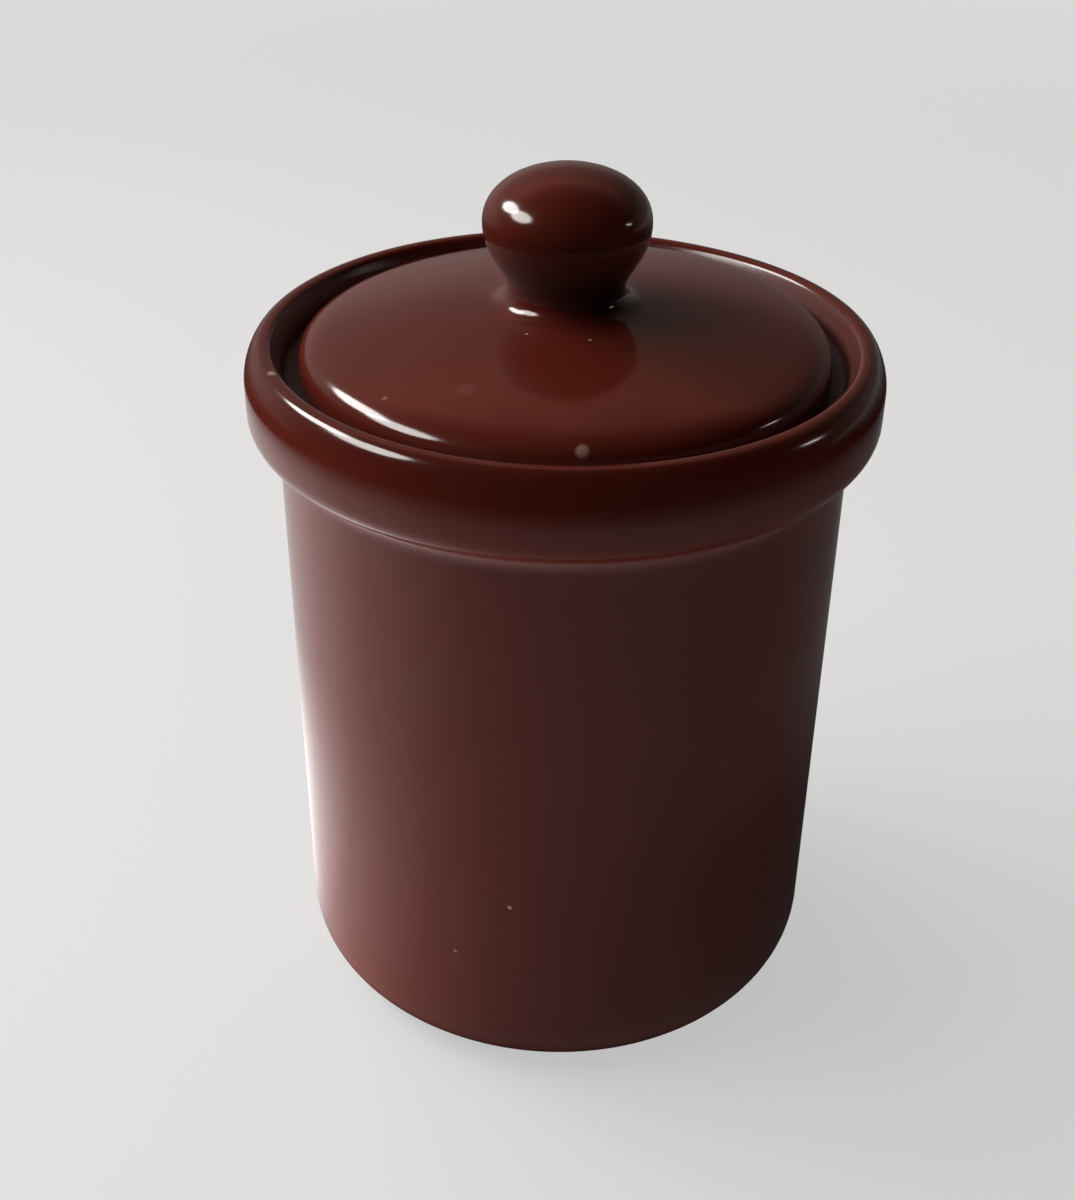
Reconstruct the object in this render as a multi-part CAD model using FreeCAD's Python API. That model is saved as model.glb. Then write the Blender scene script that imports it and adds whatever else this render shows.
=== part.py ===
import FreeCAD
import Part
import math
import os

# A glazed ceramic storage canister: a straight round jar with a thick collar, and a
# lift-off lid with a ball knob. Millimetres, +Z up, origin at the centre of the foot.
# Both pieces are thrown shapes, so each is one closed outline turned about the Z axis.

# Jar
jar_height = 151.0
body_diameter = 118.0
wall = 7.5
floor_thickness = 7.5
floor_round = 8.0

# Foot ring, left bare of glaze, and the rounded heel outside it
foot_ring_width = 4.0
foot_ring_step = 1.2
foot_recess = 2.0
foot_recess_draft = 0.8
foot_edge_round = 0.5
heel_width = 10.5
heel_height = 11.5

# Collar round the mouth
rim_width = 7.5
rim_inner_round = 2.2
shoulder_width = 3.4
shoulder_height = 6.2
shoulder_fullness = 0.5
collar_depth = 19.0
collar_underside_rise = 2.3
collar_lower_round = 4.0
collar_crease_round = 2.2

# Gallery, the step inside the collar that carries the lid
gallery_depth = 7.0
gallery_corner_round = 1.5
ledge_edge_round = 0.6
lid_rest_width = 2.5
lid_side_gap = 3.5

# Lid
flange_thickness = 8.7
flange_lower_round = 1.0
lid_edge_width = 6.2
lid_edge_drop = 5.3
lid_edge_fullness = 0.95
dome_rise = 5.3
lid_wall = 6.5
skirt_clearance = 1.0
skirt_depth = 8.0
skirt_wall = 5.0
skirt_end_round = 2.0
skirt_root_round = 0.5
underside_round = 3.0

# Knob, of one piece with the lid, cast hollow and open below
knob_diameter = 33.6
knob_height = 27.0
knob_crown_drop = 10.6
knob_crown_fullness = 0.777
knob_upper_pull = 6.8
knob_lower_pull = 4.1
waist_diameter = 23.8
waist_height = 3.0
knob_foot_spread = 4.3
hollow_side_wall = 8.3
hollow_cap = 8.0
hollow_crown_drop = 5.5
waist_wall = 5.7
hollow_mouth_round = 1.5

# The largest share of a straight run that the roundings at its ends may take
rounding_limit = 0.97

# Radii worked out from the sizes above
body_radius = body_diameter / 2
inner_radius = body_radius - wall
gallery_radius = inner_radius + lid_rest_width + lid_side_gap
collar_radius = gallery_radius + rim_width
foot_outer_radius = body_radius - heel_width
foot_inner_radius = foot_outer_radius - foot_ring_width
lid_radius = inner_radius + lid_rest_width
dome_radius = lid_radius - lid_edge_width
skirt_radius = inner_radius - skirt_clearance
skirt_inner_radius = skirt_radius - skirt_wall
knob_radius = knob_diameter / 2
waist_radius = waist_diameter / 2
knob_foot_radius = waist_radius + knob_foot_spread
hollow_radius = knob_radius - hollow_side_wall
bore_radius = waist_radius - waist_wall

# Heights worked out from the sizes above
floor_height = foot_recess + floor_thickness
crease_height = jar_height - collar_depth
ledge_height = jar_height - gallery_depth
dome_edge_height = ledge_height + flange_thickness
crown_height = dome_edge_height + dome_rise
skirt_end_height = ledge_height - skirt_depth
knob_top = crown_height + knob_height
knob_widest_height = knob_top - knob_crown_drop
waist_level = crown_height + waist_height
hollow_top = knob_top - hollow_cap
hollow_widest_height = hollow_top - hollow_crown_drop

# The dome is part of a ball whose centre lies far below on the axis
ball_radius = (dome_radius ** 2 + dome_rise ** 2) / (2 * dome_rise)
ball_centre = crown_height - ball_radius


def at(radius, height):
    return FreeCAD.Vector(radius, 0, height)


def straight(start, end):
    return Part.LineSegment(start, end).toShape()


# A rounding that leaves start towards the corner and comes into end from it: part of
# a circle where both sides are equally long, and of an ellipse where they are not. A
# fullness of its own draws it nearer to the corner or further from it than those.
def rounding(start, corner, end, fullness=None):
    if fullness is None:
        turn = (corner - start).getAngle(end - corner)
        fullness = math.cos(turn / 2)
    curve = Part.BezierCurve()
    curve.setPoles([start, corner, end])
    curve.setWeight(2, fullness)
    return curve.toShape()


# An upright S curve between two points, with a pull up or down at each of them
def upright_s(start, start_pull, end, end_pull):
    curve = Part.BezierCurve()
    start_handle = start + at(0, start_pull)
    end_handle = end + at(0, end_pull)
    curve.setPoles([start, start_handle, end_handle, end])
    return curve.toShape()


# Straight runs from corner to corner. A corner is a radius and a height, then how far
# its rounding reaches back along the run before it and ahead along the run after it,
# and last a fullness of its own, if it has one
def chain(corners):
    points = [at(corner[0], corner[1]) for corner in corners]
    back = [corner[2] if len(corner) > 2 else 0.0 for corner in corners]
    ahead = [corner[3] if len(corner) > 3 else reach for corner, reach in zip(corners, back)]
    fullness = [corner[4] if len(corner) > 4 else None for corner in corners]
    for index in range(len(points) - 1):
        room = rounding_limit * points[index].distanceToPoint(points[index + 1])
        wanted = ahead[index] + back[index + 1]
        if wanted > room:
            ahead[index] *= room / wanted
            back[index + 1] *= room / wanted
    edges = []
    reached = points[0]
    for index in range(1, len(points)):
        corner = points[index]
        entry = stepped(corner, points[index - 1], back[index])
        edges.append(straight(reached, entry))
        reached = entry
        if ahead[index] > 0:
            reached = stepped(corner, points[index + 1], ahead[index])
            edges.append(rounding(entry, corner, reached, fullness[index]))
    return edges


# The point a given distance from one point towards another
def stepped(origin, target, distance):
    if distance == 0:
        return origin
    return origin + (target - origin).normalize() * distance


# Height of a ball surface about the dome's centre, and its slope, at a radius
def ball_height(radius, ball):
    return ball_centre + math.sqrt(ball ** 2 - radius ** 2)


def ball_slope(radius, ball):
    return -radius / math.sqrt(ball ** 2 - radius ** 2)


def ball_arc(first_radius, last_radius, ball):
    radii = (first_radius, (first_radius + last_radius) / 2, last_radius)
    points = [at(radius, ball_height(radius, ball)) for radius in radii]
    return Part.Arc(*points).toShape()


# Where the line that touches a ball surface at one radius crosses another radius
def ball_tangent(touch_radius, radius, ball):
    rise = ball_slope(touch_radius, ball) * (radius - touch_radius)
    return at(radius, ball_height(touch_radius, ball) + rise)


def turned(edges):
    face = Part.Face(Part.Wire(edges))
    return face.revolve(FreeCAD.Vector(0, 0, 0), FreeCAD.Vector(0, 0, 1), 360)


def jar():
    outline = chain([
        (0, foot_recess),
        (foot_inner_radius - foot_recess_draft, foot_recess, foot_edge_round),
        (foot_inner_radius, 0, foot_edge_round),
        (foot_outer_radius, 0, foot_edge_round),
        (foot_outer_radius, foot_ring_step),
        (body_radius, foot_ring_step, heel_width, heel_height),
        (body_radius, crease_height, collar_crease_round),
        (collar_radius, crease_height + collar_underside_rise, collar_lower_round),
        (collar_radius, jar_height, shoulder_height, shoulder_width, shoulder_fullness),
        (gallery_radius, jar_height, rim_inner_round),
        (gallery_radius, ledge_height, gallery_corner_round),
        (inner_radius, ledge_height, ledge_edge_round),
        (inner_radius, floor_height, floor_round),
        (0, floor_height),
    ])
    axis = straight(at(0, floor_height), at(0, foot_recess))
    return turned(outline + [axis])


def knob_outside():
    top = at(0, knob_top)
    widest = at(knob_radius, knob_widest_height)
    waist = at(waist_radius, waist_level)
    foot = at(knob_foot_radius, ball_height(knob_foot_radius, ball_radius))
    foot_corner = ball_tangent(knob_foot_radius, waist_radius, ball_radius)
    return [
        rounding(top, at(knob_radius, knob_top), widest, knob_crown_fullness),
        upright_s(widest, -knob_upper_pull, waist, knob_lower_pull),
        rounding(waist, foot_corner, foot),
    ]


def lid_outside():
    edge = at(dome_radius, dome_edge_height)
    edge_corner = ball_tangent(dome_radius, lid_radius, ball_radius)
    widest = at(lid_radius, dome_edge_height - lid_edge_drop)
    return [
        ball_arc(knob_foot_radius, dome_radius, ball_radius),
        rounding(edge, edge_corner, widest, lid_edge_fullness),
    ]


def lid_underside():
    under_ball = ball_radius - lid_wall
    widest_height = dome_edge_height - lid_edge_drop
    under_radius = skirt_inner_radius - underside_round
    under_corner = ball_tangent(under_radius, skirt_inner_radius, under_ball)
    under_start = under_corner - at(0, underside_round)
    under_end = at(under_radius, ball_height(under_radius, under_ball))
    rest = chain([
        (lid_radius, widest_height),
        (lid_radius, ledge_height, flange_lower_round),
        (skirt_radius, ledge_height, skirt_root_round),
        (skirt_radius, skirt_end_height, skirt_end_round),
        (skirt_inner_radius, skirt_end_height, skirt_end_round),
        (skirt_inner_radius, under_start.z),
    ])
    mouth_radius = bore_radius + hollow_mouth_round
    return rest + [
        rounding(under_start, under_corner, under_end),
        ball_arc(under_radius, mouth_radius, under_ball),
    ]


def knob_hollow():
    under_ball = ball_radius - lid_wall
    mouth_radius = bore_radius + hollow_mouth_round
    mouth = at(mouth_radius, ball_height(mouth_radius, under_ball))
    mouth_corner = ball_tangent(mouth_radius, bore_radius, under_ball)
    mouth_end = mouth_corner + at(0, hollow_mouth_round)
    waist = at(bore_radius, waist_level)
    widest = at(hollow_radius, hollow_widest_height)
    top = at(0, hollow_top)
    return [
        rounding(mouth, mouth_corner, mouth_end),
        straight(mouth_end, waist),
        upright_s(waist, knob_lower_pull, widest, -knob_lower_pull),
        rounding(widest, at(hollow_radius, hollow_top), top),
        straight(top, at(0, knob_top)),
    ]


def lid():
    return turned(knob_outside() + lid_outside() + lid_underside() + knob_hollow())


os.makedirs("parts", exist_ok=True)
for name, solid in (("jar", jar()), ("lid", lid())):
    solid.exportStep("parts/" + name + ".step")
    print(name, "solids", len(solid.Solids), "valid", solid.isValid(),
          "volume", round(solid.Volume / 1000, 1), "cm3")
print("inside", round(math.pi * inner_radius ** 2
                      * (skirt_end_height - floor_height) / 1000), "cm3")
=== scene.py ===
import bpy
import math
from mathutils import Matrix, Quaternion, Vector


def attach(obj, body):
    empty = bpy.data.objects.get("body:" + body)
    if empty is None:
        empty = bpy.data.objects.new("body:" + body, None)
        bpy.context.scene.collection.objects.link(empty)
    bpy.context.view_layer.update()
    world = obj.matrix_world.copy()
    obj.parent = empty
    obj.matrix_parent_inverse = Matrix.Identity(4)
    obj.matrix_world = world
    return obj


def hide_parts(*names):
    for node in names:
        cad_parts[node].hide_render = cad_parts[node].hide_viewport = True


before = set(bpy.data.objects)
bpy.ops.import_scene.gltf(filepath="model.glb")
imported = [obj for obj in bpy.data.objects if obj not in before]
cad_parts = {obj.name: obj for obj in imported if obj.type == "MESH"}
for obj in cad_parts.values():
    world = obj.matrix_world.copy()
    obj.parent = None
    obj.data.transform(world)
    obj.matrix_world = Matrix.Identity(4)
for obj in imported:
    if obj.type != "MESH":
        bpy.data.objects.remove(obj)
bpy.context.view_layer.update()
print("frame loaded:", ", ".join(sorted(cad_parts)))

mm = 0.001

# How finely the turned forms are cut. Layout, melt and longest are in mm, the bend in degrees:
# the melt is how far the glaze softens every break, and an outline keeps a point for each bend
# and for each longest run. Arc steps lie along a rounding, sweep steps along an upright S.
fineness = {
    "layout": 0.25,
    "melt": 0.45,
    "bend": 5.5,
    "longest": 5.0,
    "sides": 360,
    "arcSteps": 40,
    "sweepSteps": 60,
}

# An outline is a list of points: radius, height, and four shares from 0 to 1, which are how
# far the glaze is darker, partly where it lies thin and partly as painted shade on the rim's
# shoulder and crest and on the knob, how far the crease reaches, where a painted sheen lies,
# how far the clay is bare, and how dull the glaze is.
markNames = ("edge", "pool", "bare", "dull")


def mark(points, **shares):
    marks = tuple(shares.get(name, 0.0) for name in markNames)
    return [(radius, height) + marks for radius, height in points]


# The sum of some points, each taken by its share
def weighted(points, shares):
    return tuple(sum(s * p[axis] for s, p in zip(shares, points)) for axis in (0, 1))


# The solid model's rounding: a conic arc that is tangent to both sides of the corner. A
# fullness of its own draws it nearer to the corner or further from it than a round one.
def roundingPoints(start, corner, end, fullness=None):
    if fullness is None:
        sideIn = Vector(corner) - Vector(start)
        sideOut = Vector(end) - Vector(corner)
        fullness = math.cos(sideIn.angle(sideOut) / 2)
    points = []
    for index in range(fineness["arcSteps"] + 1):
        t = index / fineness["arcSteps"]
        shares = ((1 - t) ** 2, 2 * t * (1 - t) * fullness, t ** 2)
        radius, height = weighted((start, corner, end), shares)
        points.append((radius / sum(shares), height / sum(shares)))
    return points


# An upright S between two points, with a pull up or down at each of them
def uprightPoints(start, startPull, end, endPull):
    knots = (start, (start[0], start[1] + startPull), (end[0], end[1] + endPull), end)
    points = []
    for index in range(fineness["sweepSteps"] + 1):
        t = index / fineness["sweepSteps"]
        shares = ((1 - t) ** 3, 3 * t * (1 - t) ** 2, 3 * t ** 2 * (1 - t), t ** 3)
        points.append(weighted(knots, shares))
    return points


def toward(origin, target, distance):
    if distance == 0:
        return origin
    share = distance / math.dist(origin, target)
    return tuple(origin[axis] + (target[axis] - origin[axis]) * share for axis in (0, 1))


# Straight runs from corner to corner. Each corner has how far its rounding reaches back and
# ahead, the marks of its bend, and those of the run that leads to it. The crease share, which
# carries a painted sheen, fades to both sides.
def cornerPoints(corners):
    outline = []
    reached = corners[0]["at"]
    for index in range(1, len(corners)):
        corner = corners[index]
        entry = toward(corner["at"], corners[index - 1]["at"], corner.get("back", 0))
        outline += mark([reached, entry], **corner.get("run", {}))
        reached = entry
        if corner.get("back", 0) > 0:
            ahead = corner.get("ahead", corner["back"])
            reached = toward(corner["at"], corners[index + 1]["at"], ahead)
            bend = roundingPoints(entry, corner["at"], reached, corner.get("fullness"))
            for place, point in enumerate(bend):
                fade = math.sin(math.pi * place / (len(bend) - 1)) ** 2
                outline += mark([point], pool=corner.get("pool", 0) * fade,
                                **corner.get("bend", {}))
    return outline


# Lays an outline's points out at an even step, and works out the marks between them
def evenPoints(outline, step):
    even = [outline[0]]
    carried = 0.0
    for before, after in zip(outline, outline[1:]):
        length = math.dist(before[:2], after[:2])
        along = step - carried
        while along < length:
            share = along / length
            even.append(tuple(a + (b - a) * share for a, b in zip(before, after)))
            along += step
        carried = length - (along - step)
    return even + [outline[-1]]


# The same point on the other side of the axis
def acrossAxis(point):
    return (-point[0],) + point[1:]


# Softens an outline as molten glaze does, then thins it out to the points its bends need
def meltedOutline(outline):
    points = evenPoints(outline, fineness["layout"])
    passes = round(2 * (fineness["melt"] / fineness["layout"]) ** 2)
    for _ in range(passes):
        padded = [acrossAxis(points[1])] + points + [acrossAxis(points[-2])]
        points = [tuple((a + 2 * b + c) / 4 for a, b, c in zip(*three))
                  for three in zip(padded, padded[1:], padded[2:])]
    kept = [(0.0,) + points[0][1:]]
    turned = 0.0
    for before, here, after in zip(points, points[1:], points[2:]):
        into = Vector(here[:2]) - Vector(before[:2])
        out = Vector(after[:2]) - Vector(here[:2])
        turned += math.degrees(into.angle(out))
        if turned >= fineness["bend"] or math.dist(here[:2], kept[-1][:2]) >= fineness["longest"]:
            kept.append(here)
            turned = 0.0
    return kept + [(0.0,) + points[-1][1:]]


# Sizes of the jar in mm, with heights above the foot. They are the solid model's, but for the
# rim's swell, crest and slope, a fuller shoulder, and the glaze that fills the crease.
jarShape = {
    "height": 151.0,
    "bodyRadius": 59.0,
    "wall": 7.5,
    "floorHeight": 9.5,
    "floorRound": 8.0,
    "footOuter": 48.5,
    "footInner": 44.5,
    "footStep": 1.2,
    "footRecess": 2.0,
    "footDraft": 0.8,
    "footRound": 0.5,
    "heelWidth": 10.5,
    "heelHeight": 11.5,
    "rimWidth": 7.5,
    "rimSwell": 0.5,
    "crestWidth": 1.9,
    "crestRise": 0.1,
    "crestRound": 1.0,
    "wallSlopeDepth": 3.8,
    "wallSlopeRound": 1.5,
    "shoulderWidth": 3.8,
    "shoulderHeight": 7.2,
    "shoulderFullness": 0.5,
    "collarDepth": 19.0,
    "undersideRise": 2.3,
    "collarLowerRound": 4.0,
    "creaseRound": 2.2,
    "creaseFill": 3.6,
    "galleryDepth": 7.0,
    "galleryRound": 1.5,
    "ledgeRound": 0.6,
}
# Sizes of the lid in mm. The first three tie it to the jar's mouth. The knob is 0.1 mm lower
# than the solid model's, to make up for the lift of the lid's edge, which reaches its crown.
lidShape = {
    "restWidth": 2.5,
    "sideGap": 3.5,
    "skirtClearance": 1.0,
    "flangeThickness": 8.7,
    "flangeRound": 1.0,
    "edgeWidth": 6.2,
    "edgeDrop": 5.3,
    "edgeFullness": 0.95,
    "domeRise": 5.3,
    "thickness": 6.5,
    "skirtDepth": 8.0,
    "skirtWall": 5.0,
    "skirtEndRound": 2.0,
    "skirtRootRound": 0.5,
    "underRound": 3.0,
    "knobRadius": 16.8,
    "knobHeight": 26.9,
    "knobCrownDrop": 10.6,
    "knobCrownFullness": 0.777,
    "knobUpperPull": 6.8,
    "knobLowerPull": 4.1,
    "waistRadius": 11.9,
    "waistHeight": 3.0,
    "knobFootSpread": 4.3,
    "hollowRadius": 8.5,
    "hollowCap": 8.0,
    "hollowCrownDrop": 5.5,
    "boreRadius": 6.2,
    "boreMouthRound": 1.5,
}
roundingLimit = 0.97  # the largest share of a straight run that a rounding may take

# Radii and heights that follow from the sizes
innerRadius = jarShape["bodyRadius"] - jarShape["wall"]
galleryRadius = innerRadius + lidShape["restWidth"] + lidShape["sideGap"]
collarRadius = galleryRadius + jarShape["rimWidth"]
ledgeHeight = jarShape["height"] - jarShape["galleryDepth"]
lidRadius = innerRadius + lidShape["restWidth"]
domeRadius = lidRadius - lidShape["edgeWidth"]
domeEdge = ledgeHeight + lidShape["flangeThickness"]
crown = domeEdge + lidShape["domeRise"]
waistLevel = crown + lidShape["waistHeight"]
knobTop = crown + lidShape["knobHeight"]
boreMouth = lidShape["boreRadius"] + lidShape["boreMouthRound"]

# The dome is part of a ball whose centre lies far below on the axis
ballRadius = (domeRadius ** 2 + lidShape["domeRise"] ** 2) / (2 * lidShape["domeRise"])
ballCentre = crown - ballRadius


def jarOutline():
    shape = jarShape
    crease = shape["height"] - shape["collarDepth"]
    rimTop = shape["height"] + shape["rimSwell"]
    return cornerPoints([
        {"at": (0, shape["footRecess"])},
        {"at": (shape["footInner"] - shape["footDraft"], shape["footRecess"]),
         "back": shape["footRound"]},
        {"at": (shape["footInner"], 0), "back": shape["footRound"],
         "bend": {"bare": 1}, "run": {"bare": 0.6}},
        {"at": (shape["footOuter"], 0), "back": shape["footRound"],
         "bend": {"bare": 1}, "run": {"bare": 1}},
        {"at": (shape["footOuter"], shape["footStep"]), "run": {"bare": 1}},
        {"at": (shape["bodyRadius"], shape["footStep"]),
         "back": shape["heelWidth"] * roundingLimit, "ahead": shape["heelHeight"]},
        # The crease carries a pale painted sheen, which stands in for the table mirrored there
        {"at": (shape["bodyRadius"], crease),
         "back": shape["creaseFill"], "ahead": shape["creaseRound"], "pool": 1},
        {"at": (collarRadius, crease + shape["undersideRise"]),
         "back": shape["collarLowerRound"]},
        # The edge mark on the shoulder and crest darkens them: partly thin glaze, partly painted
        # shade on the band that faces away from the window
        {"at": (collarRadius, rimTop),
         "back": shape["shoulderHeight"], "ahead": shape["shoulderWidth"],
         "fullness": shape["shoulderFullness"], "bend": {"edge": 1}},
        {"at": (galleryRadius + shape["crestWidth"], rimTop + shape["crestRise"]),
         "back": shape["crestRound"], "run": {"edge": 0.2}},
        {"at": (galleryRadius, shape["height"] - shape["wallSlopeDepth"]),
         "back": shape["wallSlopeRound"], "bend": {"dull": 0.5}, "run": {"dull": 0.3}},
        {"at": (galleryRadius, ledgeHeight), "back": shape["galleryRound"],
         "bend": {"dull": 0.5}, "run": {"dull": 0.5}},
        {"at": (innerRadius, ledgeHeight), "back": shape["ledgeRound"],
         "bend": {"dull": 0.7}, "run": {"dull": 0.7}},
        {"at": (innerRadius, shape["floorHeight"]), "back": shape["floorRound"]},
        {"at": (0, shape["floorHeight"])},
    ])


# Points on the dome, or at a depth under it, and on the line that touches it at a radius
def domeHeight(radius, depth=0.0):
    return ballCentre + math.sqrt((ballRadius - depth) ** 2 - radius ** 2)


def domePoint(radius, depth=0.0):
    return (radius, domeHeight(radius, depth))


def domeTangent(touch, radius, depth=0.0):
    slope = -touch / math.sqrt((ballRadius - depth) ** 2 - touch ** 2)
    return (radius, domeHeight(touch, depth) + slope * (radius - touch))


def domeArc(first, last, depth=0.0):
    steps = fineness["arcSteps"]
    radii = [first + (last - first) * index / steps for index in range(steps + 1)]
    return [domePoint(radius, depth) for radius in radii]


def knobOutside():
    shape = lidShape
    widest = (shape["knobRadius"], knobTop - shape["knobCrownDrop"])
    overTop = (shape["knobRadius"], knobTop)
    waist = (shape["waistRadius"], waistLevel)
    spread = shape["waistRadius"] + shape["knobFootSpread"]
    crownArc = roundingPoints((0, knobTop), overTop, widest, shape["knobCrownFullness"])
    side = uprightPoints(widest, -shape["knobUpperPull"], waist, shape["knobLowerPull"])
    footArc = roundingPoints(waist, domeTangent(spread, waist[0]), domePoint(spread))
    # The edge mark darkens the knob: partly thin glaze, partly painted shade, most on its side
    # below the widest point
    outline = mark(crownArc, edge=0.4) + mark(side, edge=0.7) + mark(footArc, edge=0.3)
    return outline + mark(domeArc(spread, domeRadius))


# The lid's rounded edge, its flat seat on the ledge, the skirt, and the underside within it
def lidUnderside():
    shape = lidShape
    under = shape["thickness"]
    widest = (lidRadius, domeEdge - shape["edgeDrop"])
    edgeCorner = domeTangent(domeRadius, lidRadius)
    skirtOuter = innerRadius - shape["skirtClearance"]
    skirtInner = skirtOuter - shape["skirtWall"]
    skirtEnd = ledgeHeight - shape["skirtDepth"]
    underEdge = skirtInner - shape["underRound"]
    underCorner = domeTangent(underEdge, skirtInner, under)
    underStart = (skirtInner, underCorner[1] - shape["underRound"])
    outline = mark(roundingPoints(domePoint(domeRadius), edgeCorner, widest,
                                  shape["edgeFullness"]))
    outline += cornerPoints([
        {"at": widest},
        {"at": (lidRadius, ledgeHeight), "back": shape["flangeRound"],
         "bend": {"dull": 0.6}, "run": {"dull": 0.3}},
        {"at": (skirtOuter, ledgeHeight), "back": shape["skirtRootRound"],
         "run": {"dull": 0.7}},
        {"at": (skirtOuter, skirtEnd), "back": shape["skirtEndRound"],
         "bend": {"bare": 0.9}},
        {"at": (skirtInner, skirtEnd), "back": shape["skirtEndRound"],
         "bend": {"bare": 0.9}, "run": {"bare": 1}},
        {"at": underStart},
    ])
    outline += mark(roundingPoints(underStart, underCorner, domePoint(underEdge, under)))
    return outline + mark(domeArc(underEdge, boreMouth, under))


def knobHollow():
    shape = lidShape
    under = shape["thickness"]
    mouthCorner = domeTangent(boreMouth, shape["boreRadius"], under)
    mouthEnd = (mouthCorner[0], mouthCorner[1] + shape["boreMouthRound"])
    boreTop = (shape["boreRadius"], waistLevel)
    hollowTop = knobTop - shape["hollowCap"]
    widest = (shape["hollowRadius"], hollowTop - shape["hollowCrownDrop"])
    pull = shape["knobLowerPull"]
    outline = mark(roundingPoints(domePoint(boreMouth, under), mouthCorner, mouthEnd))
    outline += mark([mouthEnd, boreTop])
    outline += mark(uprightPoints(boreTop, pull, widest, -pull))
    return outline + mark(roundingPoints(widest, (widest[0], hollowTop), (0, hollowTop)))


def lidOutline():
    return knobOutside() + lidUnderside() + knobHollow()


# The outline as a bare line of vertices in the XZ plane. Its attributes are the marks, and
# how far along the outline each point lies, from 0 to 1.
def outlineMesh(name, outline):
    mesh = bpy.data.meshes.new(name)
    places = [(point[0] * mm, 0, point[1] * mm) for point in outline]
    mesh.from_pydata(places, [(i, i + 1) for i in range(len(places) - 1)], [])
    reach = [0.0]
    for before, after in zip(places, places[1:]):
        reach.append(reach[-1] + math.dist(before, after))
    columns = {label: [point[2 + place] for point in outline]
               for place, label in enumerate(markNames)}
    columns["reach"] = [distance / reach[-1] for distance in reach]
    for label, values in columns.items():
        mesh.attributes.new(label, "FLOAT", "POINT").data.foreach_set("value", values)
    return mesh


# A node with its settings and its inputs; an input is a plain value or another node's output
def addNode(tree, kind, inputs=None, **settings):
    node = tree.nodes.new(kind)
    for name, value in settings.items():
        setattr(node, name, value)
    for socket, value in (inputs or {}).items():
        if isinstance(value, bpy.types.NodeSocket):
            tree.links.new(value, node.inputs[socket])
        else:
            node.inputs[socket].default_value = value
    return node


def addMath(tree, operation, *values, clamp=False):
    return addNode(tree, "ShaderNodeMath", dict(enumerate(values)),
                   operation=operation, use_clamp=clamp).outputs[0]


def addVectorMath(tree, operation, *values):
    return addNode(tree, "ShaderNodeVectorMath", dict(enumerate(values)), operation=operation)


def addMix(tree, share, first, second, dataType="FLOAT"):
    inputs = {"Factor": share, "A": first, "B": second}
    return addNode(tree, "ShaderNodeMix", inputs, data_type=dataType).outputs["Result"]


# A value mapped from a span, given as its two ends, to another range. The change is soft at
# both ends, unless the curve is a straight one.
def addSpan(tree, value, span, first=0.0, last=1.0, curve="SMOOTHSTEP"):
    inputs = {"Value": value, "From Min": span[0], "From Max": span[1],
              "To Min": first, "To Max": last}
    return addNode(tree, "ShaderNodeMapRange", inputs, interpolation_type=curve).outputs[0]


# A mark of the outline, as a material reads it from the mesh
def addMark(tree, name):
    return addNode(tree, "ShaderNodeAttribute", attribute_name=name).outputs["Fac"]


def objectPlace(tree):
    return tree.nodes.new("ShaderNodeTexCoord").outputs["Object"]


# A node tree with its sockets, given as the kind of socket and the names
def newTree(name, kind, inputs, outputs):
    tree = bpy.data.node_groups.new(name, kind)
    for way, sockets in (("INPUT", inputs), ("OUTPUT", outputs)):
        for socketKind, labels in sockets.items():
            for label in labels:
                tree.interface.new_socket(label, in_out=way, socket_type=socketKind)
    return tree


# Lengths of the turning tree, in metres, and how soon a rise reaches its full height
wanderRadius = 0.06  # the unevenness is read on a cylinder of this radius
axisFade = 0.02  # it grows from none at the axis to all of it at this radius
mergeDistance = 2e-6
upwardGain = 2.0  # full where the upward part of the normal is a half or more


# The radius after a slow inward wander of the whole form and a quicker one along the crease
def unevenRadius(tree, given, radius, seat, pool):
    def wander(scale, amount):
        inputs = {"Vector": seat, "W": given["Seed"], "Scale": scale, "Detail": 1.0}
        noise = addNode(tree, "ShaderNodeTexNoise", inputs, noise_dimensions="4D")
        return addMath(tree, "MULTIPLY", noise.outputs["Fac"],
                       addMath(tree, "MULTIPLY", amount, -1))

    slow = wander(given["Uneven Scale"], given["Uneven Amount"])
    quick = wander(given["Crease Scale"], addMath(tree, "MULTIPLY", given["Crease Amount"], pool))
    awayFromAxis = addMath(tree, "MULTIPLY", radius, 1 / axisFade, clamp=True)
    drift = addMath(tree, "MULTIPLY", addMath(tree, "ADD", slow, quick), awayFromAxis)
    return addMath(tree, "ADD", radius, drift)


# A soft rise that dies away from its place
def risenHeight(tree, given, kind):
    here = tree.nodes.new("GeometryNodeInputPosition").outputs[0]
    offset = addVectorMath(tree, "SUBTRACT", here, given[kind + " Place"]).outputs[0]
    distance = addVectorMath(tree, "LENGTH", offset).outputs["Value"]
    ratio = addMath(tree, "DIVIDE", distance, given[kind + " Width"])
    drop = addMath(tree, "MULTIPLY", addMath(tree, "POWER", ratio, 2), -1)
    return addMath(tree, "MULTIPLY", addMath(tree, "EXPONENT", drop), given[kind + " Height"])


# The mesh with its two rises, which leave the underside as it is
def raisedMesh(tree, given, mesh):
    facing = tree.nodes.new("GeometryNodeInputNormal").outputs[0]
    upward = addNode(tree, "ShaderNodeSeparateXYZ", {0: facing}).outputs["Z"]
    upward = addMath(tree, "MULTIPLY", upward, upwardGain, clamp=True)
    both = addMath(tree, "ADD", risenHeight(tree, given, "Swell"),
                   risenHeight(tree, given, "Lift"))
    push = addNode(tree, "ShaderNodeCombineXYZ", {"Z": addMath(tree, "MULTIPLY", both, upward)})
    return addNode(tree, "GeometryNodeSetPosition",
                   {"Geometry": mesh, "Offset": push.outputs[0]}).outputs[0]


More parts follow.
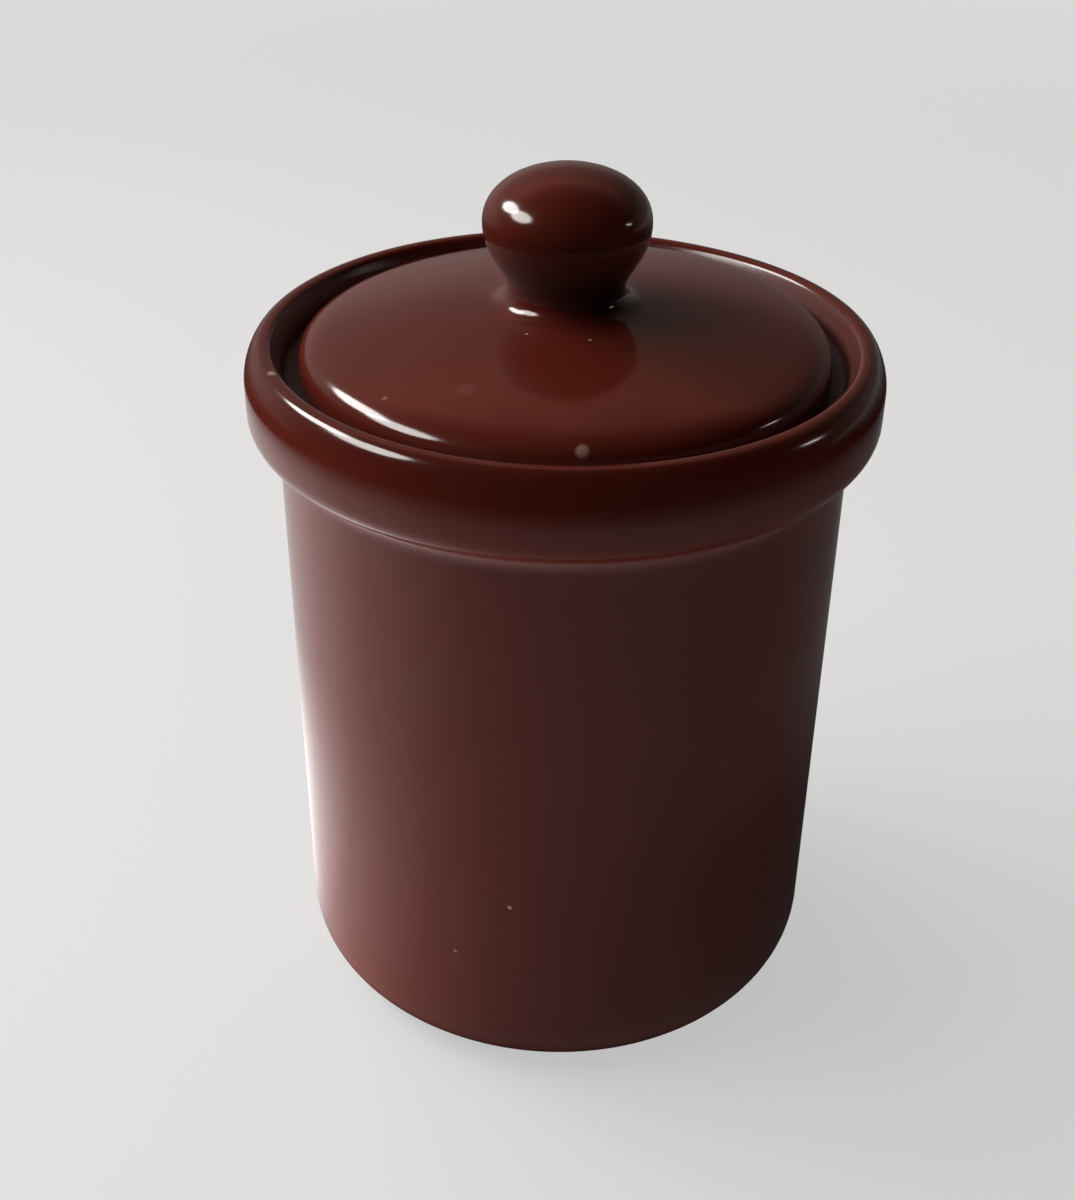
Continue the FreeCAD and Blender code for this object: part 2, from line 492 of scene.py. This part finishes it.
# The mesh with the outline's marks, and with a map for the surface: once round across, along
# the outline upwards
def markedMesh(tree, mesh, gridMap, sampled):
    def stored(name, value, dataType, domain):
        inputs = {"Geometry": mesh, "Name": name, "Value": value}
        return addNode(tree, "GeometryNodeStoreNamedAttribute", inputs,
                       data_type=dataType, domain=domain).outputs[0]

    for name in markNames:
        mesh = stored(name, sampled(name), "FLOAT", "POINT")
    across = addNode(tree, "ShaderNodeSeparateXYZ", {0: gridMap}).outputs["Y"]
    unrolled = addNode(tree, "ShaderNodeCombineXYZ", {"X": across, "Y": sampled("reach")})
    return stored("OFBake", unrolled.outputs[0], "FLOAT2", "CORNER")


# Geometry Nodes tree that turns an outline round the Z axis, with the slight unevenness of
# a thrown piece and two soft rises of its upper side
def turningTree():
    tree = newTree("turnedForm", "GeometryNodeTree", {
        "NodeSocketGeometry": ("Geometry",),
        "NodeSocketInt": ("Sides",),
        "NodeSocketFloat": ("Uneven Amount", "Uneven Scale", "Crease Amount", "Crease Scale",
                            "Seed", "Swell Height", "Swell Width", "Lift Height", "Lift Width"),
        "NodeSocketVector": ("Swell Place", "Lift Place"),
        "NodeSocketMaterial": ("Material",),
    }, {"NodeSocketGeometry": ("Geometry",)})
    given = tree.nodes.new("NodeGroupInput").outputs

    # A grid with one row for each outline point and one column for each side
    size = addNode(tree, "GeometryNodeAttributeDomainSize", {"Geometry": given["Geometry"]})
    columns = addMath(tree, "ADD", given["Sides"], 1)
    grid = addNode(tree, "GeometryNodeMeshGrid",
                   {"Vertices X": size.outputs["Point Count"], "Vertices Y": columns})
    index = tree.nodes.new("GeometryNodeInputIndex").outputs[0]
    row = addMath(tree, "FLOOR", addMath(tree, "DIVIDE", index, columns))
    column = addMath(tree, "SUBTRACT", index, addMath(tree, "MULTIPLY", row, columns))
    turn = addMath(tree, "DIVIDE", addMath(tree, "MULTIPLY", column, math.tau), given["Sides"])

    def atRow(field, dataType="FLOAT"):
        inputs = {"Geometry": given["Geometry"], "Value": field, "Index": row}
        return addNode(tree, "GeometryNodeSampleIndex", inputs,
                       data_type=dataType, domain="POINT").outputs[0]

    def sampled(name):
        field = addNode(tree, "GeometryNodeInputNamedAttribute", {"Name": name},
                        data_type="FLOAT").outputs["Attribute"]
        return atRow(field)

    position = tree.nodes.new("GeometryNodeInputPosition").outputs[0]
    place = addNode(tree, "ShaderNodeSeparateXYZ", {0: atRow(position, "FLOAT_VECTOR")}).outputs
    cosine = addMath(tree, "COSINE", turn)
    sine = addMath(tree, "SINE", turn)

    def aroundAxis(radius):
        return addNode(tree, "ShaderNodeCombineXYZ", {
            "X": addMath(tree, "MULTIPLY", cosine, radius),
            "Y": addMath(tree, "MULTIPLY", sine, radius),
            "Z": place["Z"]}).outputs[0]

    radius = unevenRadius(tree, given, place["X"], aroundAxis(wanderRadius), sampled("pool"))
    turned = addNode(tree, "GeometryNodeSetPosition",
                     {"Geometry": grid.outputs["Mesh"], "Position": aroundAxis(radius)})
    marked = markedMesh(tree, turned.outputs[0], grid.outputs["UV Map"], sampled)

    # Closed where the first side meets the last and at the axis, then raised and finished
    closed = addNode(tree, "GeometryNodeMergeByDistance",
                     {"Geometry": marked, "Distance": mergeDistance})
    raised = raisedMesh(tree, given, closed.outputs[0])
    smooth = addNode(tree, "GeometryNodeSetShadeSmooth", {"Geometry": raised})
    real = addNode(tree, "GeometryNodeRealizeInstances", {"Geometry": smooth.outputs[0]})
    finished = addNode(tree, "GeometryNodeSetMaterial",
                       {"Geometry": real.outputs[0], "Material": given["Material"]})
    addNode(tree, "NodeGroupOutput", {"Geometry": finished.outputs[0]})
    return tree


def socketId(tree, name):
    return next(item.identifier for item in tree.interface.items_tree
                if item.name == name and item.in_out == "INPUT")


# Turns an outline into a plain mesh object of the given name
def turnedPiece(name, outline, tree, values):
    line = outlineMesh(name + "Outline", meltedOutline(outline))
    source = bpy.data.objects.new(name + "Outline", line)
    bpy.context.scene.collection.objects.link(source)
    modifier = source.modifiers.new("turning", "NODES")
    modifier.node_group = tree
    for label, value in values.items():
        modifier[socketId(tree, label)] = value
    evaluated = source.evaluated_get(bpy.context.evaluated_depsgraph_get())
    mesh = bpy.data.meshes.new_from_object(evaluated)
    source.modifiers.remove(modifier)
    bpy.data.objects.remove(source)
    piece = bpy.data.objects.new(name, mesh)
    bpy.context.scene.collection.objects.link(piece)
    print(name, "turned:", len(mesh.polygons), "faces")
    return piece


# The glaze. The coat's values are the inputs of its shader group, and depths are in metres.
glazeLook = {
    "coat": {
        "Body Colour": (0.080, 0.0112, 0.0060, 1),
        "Edge And Shade Colour": (0.056, 0.0078, 0.0044, 1),
        "Crease Sheen Colour": (0.12, 0.043, 0.038, 1),
        "Cloud Colour": (0.056, 0.0094, 0.0058, 1),
        "Cloud Scale": 38.0,
        "Cloud Share": 0.35,
        "Streak Scale": 120.0,
        "Streak Share": 0.25,
        "Peel Scale": 230.0,
        "Wave Scale": 60.0,
        "Wave Share": 3.0,
        "Roughness": 0.10,
        "Roughness Spread": 0.05,
    },
    "peelDepth": 0.000008,
    "mirroredRoughness": 0.8,
    "dullRoughness": 0.75,
    "refraction": 1.6,
    # The spots' pale colour: the glaze's own faults, partly painted highlight and painted
    # reflection
    "spotAndGlintColour": (0.30, 0.155, 0.135, 1),
}
# The bare clay. The raw values are the inputs of its shader group.
clayLook = {
    "raw": {
        "Clay Colour": (0.42, 0.25, 0.15, 1),
        "Grog Colour": (0.22, 0.12, 0.07, 1),
        "Grain Scale": 900.0,
    },
    "grogSpan": (0.12, 0.2),
    "grainDepth": 0.00015,
    "roughness": 0.85,
    "edgeScale": 320.0,
    "edgeSwing": 0.5,
    "edgeSpan": (0.45, 0.55),
}
streakSquash = 0.06  # how far the streaks' noise is drawn out downwards
spotCore = 0.4  # the share of a spot's size that is all spot


# Shader group: the gloss glaze's colour, roughness and height, from the marks and from noise
def glazeGroup():
    tree = newTree("glazeCoat", "ShaderNodeTree", {
        "NodeSocketColor": ("Body Colour", "Edge And Shade Colour", "Crease Sheen Colour", "Cloud Colour"),
        "NodeSocketFloat": ("Cloud Scale", "Cloud Share", "Streak Scale", "Streak Share",
                            "Peel Scale", "Wave Scale", "Wave Share", "Roughness",
                            "Roughness Spread"),
    }, {"NodeSocketColor": ("Colour",), "NodeSocketFloat": ("Roughness", "Height")})
    given = tree.nodes.new("NodeGroupInput").outputs
    where = objectPlace(tree)
    drawnOut = addNode(tree, "ShaderNodeMapping",
                       {"Vector": where, "Scale": (1, 1, streakSquash)}).outputs[0]

    # A noise by the name of its scale, and taken by the named share if it has one
    def noise(scale, detail, share=None, vector=where):
        inputs = {"Vector": vector, "Scale": given[scale], "Detail": detail}
        value = addNode(tree, "ShaderNodeTexNoise", inputs).outputs["Fac"]
        return value if share is None else addMath(tree, "MULTIPLY", value, given[share])

    # Soft clouds, and faint streaks that run down the sides
    cloud = noise("Cloud Scale", 3.0, "Cloud Share")
    streak = noise("Streak Scale", 2.0, "Streak Share", drawnOut)
    colour = addMix(tree, addMath(tree, "ADD", cloud, streak),
                    given["Body Colour"], given["Cloud Colour"], "RGBA")
    # Darker on the edges: partly where the glaze lies thin, partly painted shade on the rim's
    # shoulder and crest and on the knob
    colour = addMix(tree, addMark(tree, "edge"), colour, given["Edge And Shade Colour"], "RGBA")
    # A pale painted sheen in the crease, which stands in for the table mirrored there
    colour = addMix(tree, addMark(tree, "pool"), colour, given["Crease Sheen Colour"], "RGBA")
    smear = noise("Cloud Scale", 2.0, "Roughness Spread")
    wave = noise("Wave Scale", 1.0, "Wave Share")
    addNode(tree, "NodeGroupOutput", {
        "Colour": colour,
        "Roughness": addMath(tree, "ADD", given["Roughness"], smear),
        "Height": addMath(tree, "ADD", noise("Peel Scale", 3.0), wave)})
    return tree


# Shader group: one small round spot on the glaze, a fault or a painted reflection. Share is 1
# at its middle and 0 from its size outwards.
def spotGroup():
    tree = newTree("glazeSpot", "ShaderNodeTree",
                   {"NodeSocketVector": ("Place",), "NodeSocketFloat": ("Size",)},
                   {"NodeSocketFloat": ("Share",)})
    given = tree.nodes.new("NodeGroupInput").outputs
    offset = addVectorMath(tree, "SUBTRACT", objectPlace(tree), given["Place"]).outputs[0]
    distance = addVectorMath(tree, "LENGTH", offset).outputs["Value"]
    core = addMath(tree, "MULTIPLY", given["Size"], spotCore)
    share = addSpan(tree, distance, (core, given["Size"]), 1.0, 0.0)
    addNode(tree, "NodeGroupOutput", {"Share": share})
    return tree


# Shader group: the raw clay of the foot and of the skirt's end, with grog in it
def clayGroup():
    tree = newTree("rawClay", "ShaderNodeTree",
                   {"NodeSocketColor": ("Clay Colour", "Grog Colour"),
                    "NodeSocketFloat": ("Grain Scale",)},
                   {"NodeSocketColor": ("Colour",), "NodeSocketFloat": ("Height",)})
    given = tree.nodes.new("NodeGroupInput").outputs
    texture = {"Vector": objectPlace(tree), "Scale": given["Grain Scale"]}
    grain = addNode(tree, "ShaderNodeTexNoise", {**texture, "Detail": 6.0}).outputs["Fac"]
    crumbs = addNode(tree, "ShaderNodeTexVoronoi", texture).outputs["Distance"]
    grog = addSpan(tree, crumbs, clayLook["grogSpan"], 1.0, 0.0, "LINEAR")
    colour = addMix(tree, grog, given["Clay Colour"], given["Grog Colour"], "RGBA")
    addNode(tree, "NodeGroupOutput", {"Colour": colour, "Height": grain})
    return tree


# The place at an azimuth, counted from the front and positive to the right, in metres
def placeAt(azimuth, radius, height):
    angle = math.radians(azimuth)
    return (math.sin(angle) * radius * mm, -math.cos(angle) * radius * mm, height * mm)


# Small spots on the glaze, by place in degrees and mm. The rise is in mm: a crumb under the
# glaze stands out, and a pinhole where a bubble burst lies deeper. Pale is the share of the
# spot colour, which on the crumbs is partly a painted highlight. The last spot of the lid is no
# fault but a painted reflection of the knob's highlight.
jarSpots = (
    {"azimuth": -9.1, "radius": 59.0, "height": 48.8, "size": 0.75, "rise": -0.25, "pale": 1.0},
    {"azimuth": -20.8, "radius": 59.0, "height": 33.4, "size": 0.6, "rise": -0.15, "pale": 0.6},
    # A crumb on the rim, its paleness partly a painted highlight
    {"azimuth": -67.0, "radius": 60.4, "height": 151.5, "size": 1.3, "rise": 0.10, "pale": 0.8},
)
lidSpots = (
    {"azimuth": 3.8, "radius": 52.6, "height": 150.5, "size": 1.7, "rise": 0.20, "pale": 0.7},
    {"azimuth": 14.0, "radius": 18.9, "height": 157.2, "size": 0.5, "rise": -0.20, "pale": 1.0},
    {"azimuth": -25.2, "radius": 17.8, "height": 157.3, "size": 0.4, "rise": -0.15, "pale": 1.0},
    {"azimuth": -42.5, "radius": 48.7, "height": 152.5, "size": 0.8, "rise": 0.04, "pale": 0.4},
    # Not a fault: a painted reflection of the knob's highlight in the lid
    {"azimuth": -27.0, "radius": 40.0, "height": 154.3, "size": 2.6, "rise": 0.0, "pale": 0.06},
)


# How pale the spots make the glaze, and how far they rise out of it
def spotShares(tree, groups, spots):
    pale = 0.0
    rise = 0.0
    for spot in spots:
        place = placeAt(spot["azimuth"], spot["radius"], spot["height"])
        share = addNode(tree, "ShaderNodeGroup", {"Place": place, "Size": spot["size"] * mm},
                        node_tree=groups["spot"]).outputs["Share"]
        pale = addMath(tree, "MULTIPLY_ADD", share, spot["pale"], pale)
        rise = addMath(tree, "MULTIPLY_ADD", share, spot["rise"] * mm, rise)
    return pale, rise


# Where the clay is bare. The glaze stops there in a wavering line.
def bareShare(tree):
    waver = addNode(tree, "ShaderNodeTexNoise",
                    {"Vector": objectPlace(tree), "Scale": clayLook["edgeScale"]}).outputs["Fac"]
    swing = addMath(tree, "MULTIPLY", addMath(tree, "SUBTRACT", waver, 0.5),
                    clayLook["edgeSwing"])
    edge = addMath(tree, "ADD", addMark(tree, "bare"), swing)
    return addSpan(tree, edge, clayLook["edgeSpan"], curve="LINEAR")


def glazedMaterial(name, groups, spots):
    material = bpy.data.materials.new(name)
    material.use_nodes = True
    tree = material.node_tree
    shader = tree.nodes["Principled BSDF"]
    glaze = addNode(tree, "ShaderNodeGroup", glazeLook["coat"], node_tree=groups["glaze"]).outputs
    clay = addNode(tree, "ShaderNodeGroup", clayLook["raw"], node_tree=groups["clay"]).outputs
    pale, rise = spotShares(tree, groups, spots)
    bare = bareShare(tree)

    # The spots' pale colour: faults in the glaze, partly painted highlight and painted reflection
    glazeColour = addMix(tree, pale, glaze["Colour"], glazeLook["spotAndGlintColour"], "RGBA")
    colour = addMix(tree, bare, glazeColour, clay["Colour"], "RGBA")

    # Mirrored in itself, the wavy glaze shows only soft images. Where lid and gallery rub on
    # each other it is dull.
    again = tree.nodes.new("ShaderNodeLightPath").outputs["Is Glossy Ray"]
    roughness = addMix(tree, again, glaze["Roughness"], glazeLook["mirroredRoughness"])
    roughness = addMix(tree, addMark(tree, "dull"), roughness, glazeLook["dullRoughness"])
    roughness = addMix(tree, bare, roughness, clayLook["roughness"])

    peel = addMath(tree, "MULTIPLY", glaze["Height"], glazeLook["peelDepth"])
    grain = addMath(tree, "MULTIPLY", clay["Height"], clayLook["grainDepth"])
    height = addMix(tree, bare, addMath(tree, "ADD", peel, rise), grain)
    bump = addNode(tree, "ShaderNodeBump", {"Height": height, "Distance": 1.0, "Strength": 1.0})
    shader.inputs["IOR"].default_value = glazeLook["refraction"]
    tree.links.new(colour, shader.inputs["Base Color"])
    tree.links.new(roughness, shader.inputs["Roughness"])
    tree.links.new(bump.outputs["Normal"], shader.inputs["Normal"])
    return material


groups = {"glaze": glazeGroup(), "spot": spotGroup(), "clay": clayGroup()}
tree = turningTree()

# What the tree turns each piece with. The jar's rim dips softly at the back right, where the
# lid's edge lifts, and the lid swells over the crumb in its front edge. An input that is left
# out stays at 0.
jarTurning = {
    "Sides": fineness["sides"],
    "Uneven Amount": 0.25 * mm,
    "Uneven Scale": 14.0,
    "Crease Amount": 0.3 * mm,
    "Crease Scale": 25.0,
    "Seed": 3.0,
    "Lift Height": -0.5 * mm,
    "Lift Width": 42.0 * mm,
    "Lift Place": placeAt(150, 61, 151),
    "Material": glazedMaterial("jarGlaze", groups, jarSpots),
}
lidTurning = {
    "Sides": fineness["sides"],
    "Uneven Amount": 0.2 * mm,
    "Uneven Scale": 16.0,
    "Seed": 8.0,
    "Swell Height": 0.35 * mm,
    "Swell Width": 6.0 * mm,
    "Swell Place": placeAt(3.8, 52.6, 150.5),
    "Lift Height": 1.1 * mm,
    "Lift Width": 36.0 * mm,
    "Lift Place": placeAt(140, 50, 152),
    "Material": glazedMaterial("lidGlaze", groups, lidSpots),
}
jarPiece = turnedPiece("jarGlazed", jarOutline()[::-1], tree, jarTurning)  # faces outward
lidPiece = turnedPiece("lidGlazed", lidOutline(), tree, lidTurning)
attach(jarPiece, "jar")
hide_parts("jar")
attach(lidPiece, "lid")
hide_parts("lid")
print("pieces dressed")

# The stage: a pale table in a pale room. Sizes, distances and the table's spans are in metres,
# and the spans of the room are parts of a direction, from -1 to 1. Azimuths and elevations are
# in degrees, with azimuth 0 at the camera's side and positive to the right. The glaze mirrors
# the table bright beside the window on the left and dim elsewhere.
stageLook = {
    "floorSize": 12.0,
    "floorColour": (0.50, 0.49, 0.48, 1),
    "floorRoughness": 0.8,
    "floorSpecular": 0.1,
    "floorGlow": 0.6,
    "fadeSpan": (0.6, 2.4),
    "nearSpan": (0.09, 0.17),
    "litSpan": (0.31, 0.40),
    "farSpan": (0.2, 1.0),
    "farLevel": 0.18,
    "bounceSpan": (0.24, 0.34),
    "outerBounceSpan": (0.5, 0.9),
    "contactSpan": (0.052, 0.066),
    "roomColour": (0.86, 0.86, 0.86, 1),
    "roomBehind": (0.0, 0.7),
    "roomFront": 0.03,
    "roomLeftward": (-0.3, 0.5),
    "roomRight": 0.45,
    "roomShade": 0.01,
    "patchSpan": (0.75, 0.97),
}
# How bright the table is by azimuth: mirrored close to the object, mirrored further out, and
# as the light that it throws back, close by and further out
nearLevels = (
    (-180, 0.60), (-135, 1.42), (-115, 1.66), (-94, 1.24), (-76, 0.65), (-60, 0.41), (-40, 0.23),
    (-17, 0.16), (0, 0.14), (30, 0.10), (60, 0.04), (90, 0.02), (135, 0.02), (180, 0.60),
)
tableLevels = (
    (-180, 0.30), (-135, 0.70), (-115, 0.78), (-94, 0.68), (-76, 0.42), (-60, 0.32), (-40, 0.20),
    (-17, 0.17), (0, 0.17), (30, 0.15), (60, 0.11), (90, 0.07), (135, 0.08), (180, 0.30),
)
bounceLevels = (
    (-180, 0.8), (-135, 1.2), (-105, 5.8), (-80, 10.6), (-55, 5.9), (-30, 1.5), (-5, 0.7),
    (25, 0.6), (60, 0.2), (85, 0.3), (110, 1.0), (145, 0.9), (180, 0.8),
)
outerBounceLevels = (
    (-180, 0), (-135, 0.6), (-105, 2.0), (-60, 1.3), (-35, 0.2), (-5, 0.2), (25, 1.4), (50, 2.6),
    (75, 2.0), (110, 0.2), (180, 0),
)
# The room behind as the glaze mirrors it, by the sine of the elevation
roomColours = (
    (0.0, (0.27, 0.23, 0.22)), (0.20, (0.27, 0.23, 0.22)), (0.34, (0.13, 0.13, 0.13)),
    (0.50, (0.15, 0.13, 0.11)), (0.60, (0.24, 0.14, 0.11)), (0.70, (0.46, 0.19, 0.15)),
    (0.80, (0.20, 0.11, 0.09)), (0.90, (0.05, 0.06, 0.07)), (1.0, (0.02, 0.03, 0.03)),
)
# The soft patches of the room that light the object: a pale wall behind on the left, its far
# end, and the ceiling above the window
roomPatches = (
    {"azimuth": -132, "elevation": 15, "strength": 4.2},
    {"azimuth": 180, "elevation": 15, "strength": 1.2},
    {"azimuth": -90, "elevation": 50, "strength": 1.0},
)
# The two halves of the window, and a small lamp far off on the right
lampLook = {
    "windowRear": {"azimuth": -110.5, "elevation": 35.9, "distance": 0.8, "tilt": 25,
                   "width": 0.390, "height": 0.215, "radiance": 13.5},
    "windowFront": {"azimuth": -81.0, "elevation": 39.0, "distance": 0.8, "tilt": 6,
                    "width": 0.448, "height": 0.282, "radiance": 10.5},
    "farLamp": {"azimuth": 92.5, "elevation": 15.0, "distance": 1.4, "tilt": -30,
                "width": 0.22, "height": 0.05, "radiance": 9},
}
lampColour = (1.0, 0.965, 0.93)
aimPoint = Vector((0, 0, 0.15))


def directionTo(azimuth, elevation):
    a = math.radians(azimuth)
    e = math.radians(elevation)
    return Vector((math.sin(a) * math.cos(e), -math.cos(a) * math.cos(e), math.sin(e)))


def addLamp(name, look):
    lamp = bpy.data.lights.new(name, "AREA")
    lamp.shape = "ELLIPSE"
    lamp.size = look["width"]
    lamp.size_y = look["height"]
    lamp.color = lampColour
    # The energy is the radiance times pi, times the area of the ellipse
    lamp.energy = look["radiance"] * math.pi * math.pi / 4 * look["width"] * look["height"]
    holder = bpy.data.objects.new(name, lamp)
    bpy.context.scene.collection.objects.link(holder)
    away = directionTo(look["azimuth"], look["elevation"])
    holder.location = aimPoint + away * look["distance"]
    turn = away.to_track_quat("Z", "Y") @ Quaternion((0, 0, 1), math.radians(look["tilt"]))
    holder.rotation_euler = turn.to_euler()


# A colour ramp with stops given as place and colour
def addRamp(tree, value, stops):
    ramp = addNode(tree, "ShaderNodeValToRGB", {"Fac": value})
    elements = ramp.color_ramp.elements
    elements[0].color = (*stops[0][1], 1)
    elements[1].color = (*stops[-1][1], 1)
    for place, colour in stops[1:-1]:
        elements.new(place).color = (*colour, 1)
    return ramp.outputs["Color"]


def addGlow(tree, **inputs):
    return addNode(tree, "ShaderNodeEmission", inputs).outputs[0]


def addShaderMix(tree, share, first, second):
    return addNode(tree, "ShaderNodeMixShader", {0: share, 1: first, 2: second}).outputs[0]


# One shader that lights the object, one that the glaze mirrors, and one that is seen directly
def shownByRay(tree, lighting, mirrored, seen):
    path = tree.nodes.new("ShaderNodeLightPath").outputs
    direct = addMath(tree, "ADD", path["Is Camera Ray"], path["Is Transmission Ray"], clamp=True)
    shown = addShaderMix(tree, path["Is Glossy Ray"], lighting, mirrored)
    return addShaderMix(tree, direct, shown, seen)


# What the object gets from the table goes by the azimuth and is dark under the heel: the
# image that the glaze mirrors, which is also dark past its lit part but not far behind, and
# the light that is thrown back
def tableLight(tree, where, distance):
    look = stageLook
    split = addNode(tree, "ShaderNodeSeparateXYZ", {0: where}).outputs
    turn = addMath(tree, "ARCTAN2", split["X"], addMath(tree, "MULTIPLY", split["Y"], -1))
    share = addSpan(tree, turn, (-math.pi, math.pi), curve="LINEAR")
    contact = addSpan(tree, distance, look["contactSpan"])

    def around(levels):
        top = max(level for _, level in levels)
        stops = [((azimuth + 180) / 360, (level / top,) * 3) for azimuth, level in levels]
        scaled = addMath(tree, "MULTIPLY", addRamp(tree, share, stops), top)
        return addMath(tree, "MULTIPLY", scaled, contact)

    # A disc round the object and the ring outside it, each with its own levels
    def graded(discLevels, discSpan, ringLevels, ringSpan):
        disc = addSpan(tree, distance, discSpan, 1.0, 0.0)
        ring = addMath(tree, "SUBTRACT", addSpan(tree, distance, ringSpan, 1.0, 0.0), disc)
        return addMath(tree, "MULTIPLY_ADD", around(discLevels), disc,
                       addMath(tree, "MULTIPLY", around(ringLevels), ring))

    lit = graded(nearLevels, look["nearSpan"], tableLevels, look["litSpan"])
    far = addSpan(tree, split["Y"], look["farSpan"], 0.0, look["farLevel"])
    bounce = graded(bounceLevels, look["bounceSpan"], outerBounceLevels, look["outerBounceSpan"])
    return addGlow(tree, Strength=addMath(tree, "ADD", lit, far)), addGlow(tree, Strength=bounce)


def addFloor():
    look = stageLook
    half = look["floorSize"] / 2
    corners = [(-half, -half, 0), (half, -half, 0), (half, half, 0), (-half, half, 0)]
    mesh = bpy.data.meshes.new("floor")
    mesh.from_pydata(corners, [], [(0, 1, 2, 3)])
    floor = bpy.data.objects.new("floor", mesh)
    bpy.context.scene.collection.objects.link(floor)
    material = bpy.data.materials.new("paleTable")
    material.use_nodes = True
    tree = material.node_tree
    shader = tree.nodes["Principled BSDF"]
    shader.inputs["Base Color"].default_value = look["floorColour"]
    shader.inputs["Roughness"].default_value = look["floorRoughness"]
    shader.inputs["Specular IOR Level"].default_value = look["floorSpecular"]
    where = objectPlace(tree)
    distance = addVectorMath(tree, "LENGTH", where).outputs["Value"]

    # Seen straight on, the table glows a little and fades into the room far out
    fade = addSpan(tree, distance, look["fadeSpan"], look["floorGlow"], 1.0)
    pale = addGlow(tree, Color=look["roomColour"])
    seen = addShaderMix(tree, fade, shader.outputs[0], pale)
    mirrored, bounced = tableLight(tree, where, distance)
    surface = shownByRay(tree, bounced, mirrored, seen)
    tree.links.new(surface, tree.nodes["Material Output"].inputs["Surface"])
    mesh.materials.append(material)


def addRoom():
    look = stageLook
    world = bpy.data.worlds.new("room")
    bpy.context.scene.world = world
    world.use_nodes = True
    tree = world.node_tree
    direction = tree.nodes.new("ShaderNodeTexCoord").outputs["Generated"]
    way = addNode(tree, "ShaderNodeSeparateXYZ", {0: direction}).outputs

    # Mirrored in the glaze, the room is paler behind than in front, most so on the left
    behind = addSpan(tree, way["Y"], look["roomBehind"], look["roomFront"], 1.0)
    leftward = addSpan(tree, way["X"], look["roomLeftward"], 1.0, look["roomRight"])
    level = addMath(tree, "MULTIPLY", behind, leftward)

    # It lights the object with its soft patches
    light = look["roomShade"]
    for patch in roomPatches:
        middle = directionTo(patch["azimuth"], patch["elevation"])
        nearness = addVectorMath(tree, "DOT_PRODUCT", direction, middle).outputs["Value"]
        share = addSpan(tree, nearness, look["patchSpan"])
        light = addMath(tree, "MULTIPLY_ADD", share, patch["strength"], light)

    def background(colour, strength):
        inputs = {"Color": colour, "Strength": strength}
        return addNode(tree, "ShaderNodeBackground", inputs).outputs[0]

    lit = background((1, 1, 1, 1), light)
    mirrored = background(addRamp(tree, way["Z"], roomColours), level)
    seen = background(look["roomColour"], 1.0)
    room = shownByRay(tree, lit, mirrored, seen)
    tree.links.new(room, tree.nodes["World Output"].inputs["Surface"])


# The camera, placed as the photograph was taken. Angles in degrees, distances in metres.
cameraLook = {
    "distance": 0.3093,
    "height": 0.2793,
    "pitch": 31.84,
    "yaw": -0.94,
    "roll": -0.59,
    "focalPixels": 1632.0,
    "imageHeight": 1200.0,
    "sensor": 36.0,
    "clipStart": 0.01,
}


def addCamera():
    look = cameraLook
    pitch, yaw, roll = (math.radians(look[key]) for key in ("pitch", "yaw", "roll"))
    ahead = Vector((math.sin(yaw) * math.cos(pitch), math.cos(yaw) * math.cos(pitch),
                    -math.sin(pitch)))
    level = Vector((math.cos(yaw), -math.sin(yaw), 0))
    down = ahead.cross(level)
    right = level * math.cos(roll) + down * math.sin(roll)
    below = down * math.cos(roll) - level * math.sin(roll)
    turn = Matrix((right, -below, -ahead)).transposed().to_4x4()
    camera = bpy.data.cameras.new("photoCamera")
    camera.sensor_width = look["sensor"]
    camera.lens = look["focalPixels"] / look["imageHeight"] * look["sensor"]
    camera.clip_start = look["clipStart"]
    holder = bpy.data.objects.new("photoCamera", camera)
    bpy.context.scene.collection.objects.link(holder)
    holder.matrix_world = Matrix.Translation((0, -look["distance"], look["height"])) @ turn
    bpy.context.scene.camera = holder


addFloor()
addRoom()
for name, look in lampLook.items():
    addLamp(name, look)
addCamera()
bpy.context.scene.view_settings.view_transform = "Standard"
print("stage, lamps and camera set")
